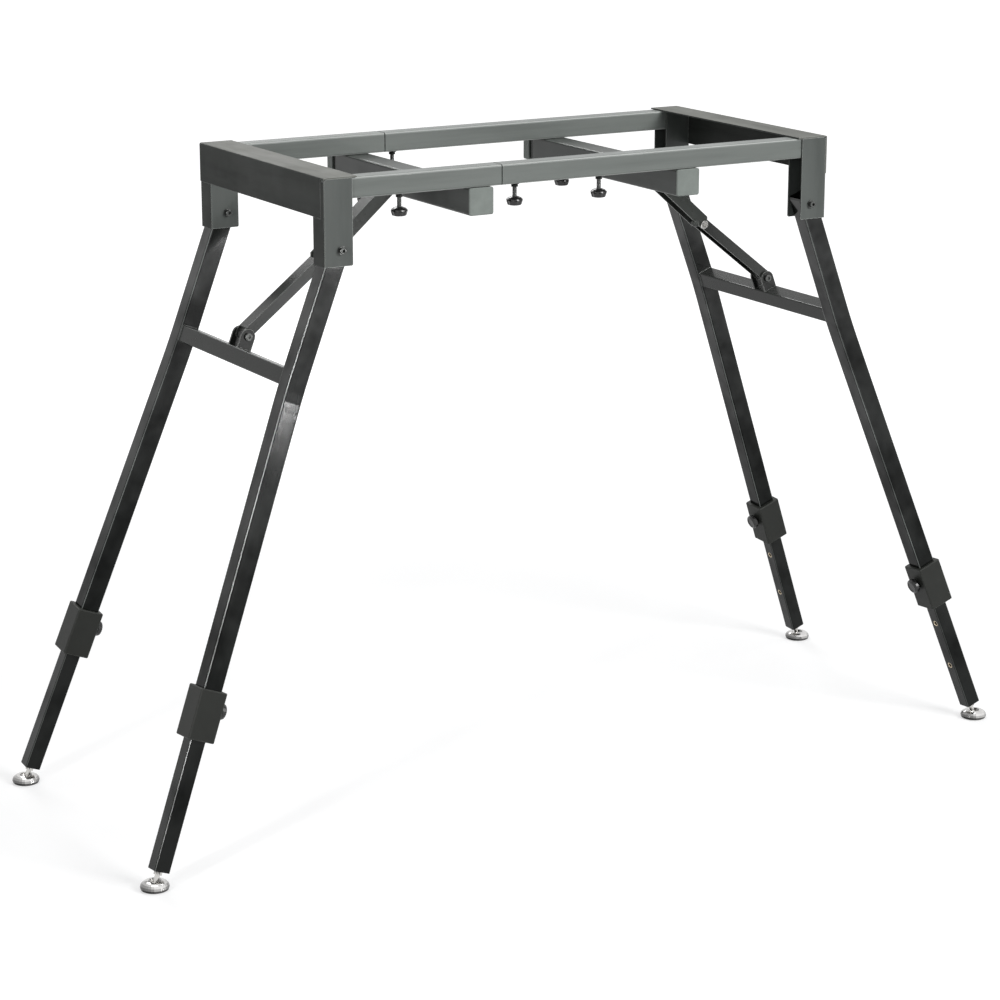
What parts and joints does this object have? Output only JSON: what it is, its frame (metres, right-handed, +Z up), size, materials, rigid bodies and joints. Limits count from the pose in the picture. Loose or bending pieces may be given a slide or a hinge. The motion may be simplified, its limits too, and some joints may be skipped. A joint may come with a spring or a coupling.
{
  "type": "keyboard stand",
  "caption": "Table-style folding keyboard stand: steel top frame that widens, sliding rear arms, and two folding leg frames with telescoping legs and swivel feet.",
  "frame": {"origin": "on the floor, under the middle of the bounding box", "axes": "+X to the right along the rails, +Y to the back where the arms slide out, +Z up"},
  "size_m": [1.5154, 0.539, 0.982],
  "materials": {
    "frame_steel": "satin grey powder coat",
    "plate_steel": "matte grey powder coat",
    "leg_steel": "semi-gloss black paint",
    "collar_plastic": "fine matte texture",
    "cap_plastic": "matte",
    "knob_plastic": "gloss black",
    "bolt_chrome": "bright plated",
    "foot_chrome": "polished"
  },
  "bodies": {
    "right_half": {"right_end_bracket": "plate_steel", "right_front_post": "frame_steel", "right_front_pivot_bolt": "bolt_chrome", "right_rear_post": "frame_steel", "right_rear_pivot_bolt": "bolt_chrome", "right_cross_support": "frame_steel", "right_support_front_cap": "cap_plastic", "right_strut_top_bolt": "bolt_chrome", "front_rail_right": "frame_steel", "rear_rail_right": "frame_steel"},
    "left_half": {"left_end_bracket": "plate_steel", "left_front_post": "frame_steel", "left_front_pivot_bolt": "bolt_chrome", "left_rear_post": "frame_steel", "left_rear_pivot_bolt": "bolt_chrome", "left_cross_support": "frame_steel", "left_support_front_cap": "cap_plastic", "left_strut_top_bolt": "bolt_chrome", "front_rail_left": "frame_steel", "rear_rail_left": "frame_steel", "front_rail_sleeve": "frame_steel", "rear_rail_sleeve": "frame_steel"},
    "right_leg_frame": {"right_front_upper_leg": "leg_steel", "right_front_leg_collar": "collar_plastic", "right_rear_upper_leg": "leg_steel", "right_rear_leg_collar": "collar_plastic", "right_cross_bar": "leg_steel", "right_strut_bottom_bolt": "bolt_chrome"},
    "right_strut_upper": {"right_strut_upper_link": "frame_steel", "right_strut_middle_bolt": "bolt_chrome"},
    "right_strut_lower": {"right_strut_lower_link": "leg_steel"},
    "right_arm": {"right_support_arm": "leg_steel"},
    "right_arm_screw": {"right_arm_screw": "knob_plastic"},
    "right_front_lower_leg": {"right_front_lower_leg": "leg_steel"},
    "right_front_foot": {"right_front_foot_pad": "foot_chrome"},
    "right_front_pin": {"right_front_pull_pin": "knob_plastic"},
    "right_rear_lower_leg": {"right_rear_lower_leg": "leg_steel"},
    "right_rear_foot": {"right_rear_foot_pad": "foot_chrome"},
    "right_rear_pin": {"right_rear_pull_pin": "knob_plastic"},
    "left_leg_frame": {"left_front_upper_leg": "leg_steel", "left_front_leg_collar": "collar_plastic", "left_rear_upper_leg": "leg_steel", "left_rear_leg_collar": "collar_plastic", "left_cross_bar": "leg_steel", "left_strut_bottom_bolt": "bolt_chrome"},
    "left_strut_upper": {"left_strut_upper_link": "frame_steel", "left_strut_middle_bolt": "bolt_chrome"},
    "left_strut_lower": {"left_strut_lower_link": "leg_steel"},
    "left_arm": {"left_support_arm": "leg_steel"},
    "left_arm_screw": {"left_arm_screw": "knob_plastic"},
    "left_front_lower_leg": {"left_front_lower_leg": "leg_steel"},
    "left_front_foot": {"left_front_foot_pad": "foot_chrome"},
    "left_front_pin": {"left_front_pull_pin": "knob_plastic"},
    "left_rear_lower_leg": {"left_rear_lower_leg": "leg_steel"},
    "left_rear_foot": {"left_rear_foot_pad": "foot_chrome"},
    "left_rear_pin": {"left_rear_pull_pin": "knob_plastic"},
    "front_left_screw": {"front_left_width_screw": "knob_plastic"},
    "front_middle_screw": {"front_middle_width_screw": "knob_plastic"},
    "front_right_screw": {"front_right_width_screw": "knob_plastic"},
    "rear_middle_screw": {"rear_middle_width_screw": "knob_plastic"}
  },
  "joints": [
    {"name": "width_slide", "type": "slide", "parent": "right_half", "child": "left_half", "axis": [-1, 0, 0], "range_m": [0, 0.15]},
    {"name": "right_leg_fold", "type": "hinge", "parent": "right_half", "child": "right_leg_frame", "pos_m": [0.40482, 0, 0.8786], "axis": [0, 1, 0], "range_deg": [0, 100]},
    {"name": "right_strut_upper_hinge", "type": "hinge", "parent": "right_half", "child": "right_strut_upper", "pos_m": [0.217, 0, 0.9282], "axis": [0, -1, 0], "range_deg": [0, 46]},
    {"name": "right_strut_middle_hinge", "type": "hinge", "parent": "right_strut_upper", "child": "right_strut_lower", "pos_m": [0.33729, 0, 0.82432], "axis": [0, 1, 0], "range_deg": [0, 153]},
    {"name": "right_arm_slide", "type": "slide", "parent": "right_half", "child": "right_arm", "axis": [0, 1, 0], "range_m": [-0.013, 0.12]},
    {"name": "right_arm_screw_turn", "type": "hinge", "parent": "right_half", "child": "right_arm_screw", "pos_m": [0.178, 0.157, 0.89], "axis": [0, 0, 1], "continuous": true},
    {"name": "right_front_leg_slide", "type": "slide", "parent": "right_leg_frame", "child": "right_front_lower_leg", "axis": [-0.3544, 0.083, 0.9314], "range_m": [0, 0.16]},
    {"name": "right_front_foot_swivel", "type": "hinge", "parent": "right_front_lower_leg", "child": "right_front_foot", "pos_m": [0.7365, -0.24829, 0.007], "axis": [0, 1, 0], "range_deg": [-12, 12]},
    {"name": "right_front_pin_pull", "type": "slide", "parent": "right_leg_frame", "child": "right_front_pin", "axis": [-0.9346, 0, -0.3557], "range_m": [0, 0.008], "stiffness_N_per_m": 300},
    {"name": "right_rear_leg_slide", "type": "slide", "parent": "right_leg_frame", "child": "right_rear_lower_leg", "axis": [-0.3544, -0.083, 0.9314], "range_m": [0, 0.16]},
    {"name": "right_rear_foot_swivel", "type": "hinge", "parent": "right_rear_lower_leg", "child": "right_rear_foot", "pos_m": [0.7365, 0.24829, 0.007], "axis": [0, 1, 0], "range_deg": [-12, 12]},
    {"name": "right_rear_pin_pull", "type": "slide", "parent": "right_leg_frame", "child": "right_rear_pin", "axis": [-0.9346, 0, -0.3557], "range_m": [0, 0.008], "stiffness_N_per_m": 300},
    {"name": "left_leg_fold", "type": "hinge", "parent": "left_half", "child": "left_leg_frame", "pos_m": [-0.40482, 0, 0.8786], "axis": [0, -1, 0], "range_deg": [0, 110]},
    {"name": "left_strut_upper_hinge", "type": "hinge", "parent": "left_half", "child": "left_strut_upper", "pos_m": [-0.217, 0, 0.9282], "axis": [0, 1, 0], "range_deg": [0, 57]},
    {"name": "left_strut_middle_hinge", "type": "hinge", "parent": "left_strut_upper", "child": "left_strut_lower", "pos_m": [-0.33729, 0, 0.82432], "axis": [0, -1, 0], "range_deg": [0, 163]},
    {"name": "left_arm_slide", "type": "slide", "parent": "left_half", "child": "left_arm", "axis": [0, 1, 0], "range_m": [-0.013, 0.12]},
    {"name": "left_arm_screw_turn", "type": "hinge", "parent": "left_half", "child": "left_arm_screw", "pos_m": [-0.178, 0.157, 0.89], "axis": [0, 0, 1], "continuous": true},
    {"name": "left_front_leg_slide", "type": "slide", "parent": "left_leg_frame", "child": "left_front_lower_leg", "axis": [0.3544, 0.083, 0.9314], "range_m": [0, 0.16]},
    {"name": "left_front_foot_swivel", "type": "hinge", "parent": "left_front_lower_leg", "child": "left_front_foot", "pos_m": [-0.7365, -0.24829, 0.007], "axis": [0, 1, 0], "range_deg": [-12, 12]},
    {"name": "left_front_pin_pull", "type": "slide", "parent": "left_leg_frame", "child": "left_front_pin", "axis": [0.9346, 0, -0.3557], "range_m": [0, 0.008], "stiffness_N_per_m": 300},
    {"name": "left_rear_leg_slide", "type": "slide", "parent": "left_leg_frame", "child": "left_rear_lower_leg", "axis": [0.3544, -0.083, 0.9314], "range_m": [0, 0.16]},
    {"name": "left_rear_foot_swivel", "type": "hinge", "parent": "left_rear_lower_leg", "child": "left_rear_foot", "pos_m": [-0.7365, 0.24829, 0.007], "axis": [0, 1, 0], "range_deg": [-12, 12]},
    {"name": "left_rear_pin_pull", "type": "slide", "parent": "left_leg_frame", "child": "left_rear_pin", "axis": [0.9346, 0, -0.3557], "range_m": [0, 0.008], "stiffness_N_per_m": 300},
    {"name": "front_left_screw_turn", "type": "hinge", "parent": "left_half", "child": "front_left_screw", "pos_m": [-0.303, -0.1883, 0.93], "axis": [0, 0, 1], "continuous": true},
    {"name": "front_middle_screw_turn", "type": "hinge", "parent": "right_half", "child": "front_middle_screw", "pos_m": [-0.113, -0.1883, 0.93], "axis": [0, 0, 1], "continuous": true},
    {"name": "front_right_screw_turn", "type": "hinge", "parent": "right_half", "child": "front_right_screw", "pos_m": [0.031, -0.1883, 0.93], "axis": [0, 0, 1], "continuous": true},
    {"name": "rear_middle_screw_turn", "type": "hinge", "parent": "right_half", "child": "rear_middle_screw", "pos_m": [-0.113, 0.1883, 0.93], "axis": [0, 0, 1], "continuous": true}
  ],
  "couplings": [
    {"joint": "right_strut_upper_hinge", "follows": "right_leg_fold", "ratio": 0.4464},
    {"joint": "right_strut_middle_hinge", "follows": "right_leg_fold", "ratio": 1.5188},
    {"joint": "left_strut_upper_hinge", "follows": "left_leg_fold", "ratio": 0.5114},
    {"joint": "left_strut_middle_hinge", "follows": "left_leg_fold", "ratio": 1.4722}
  ]
}
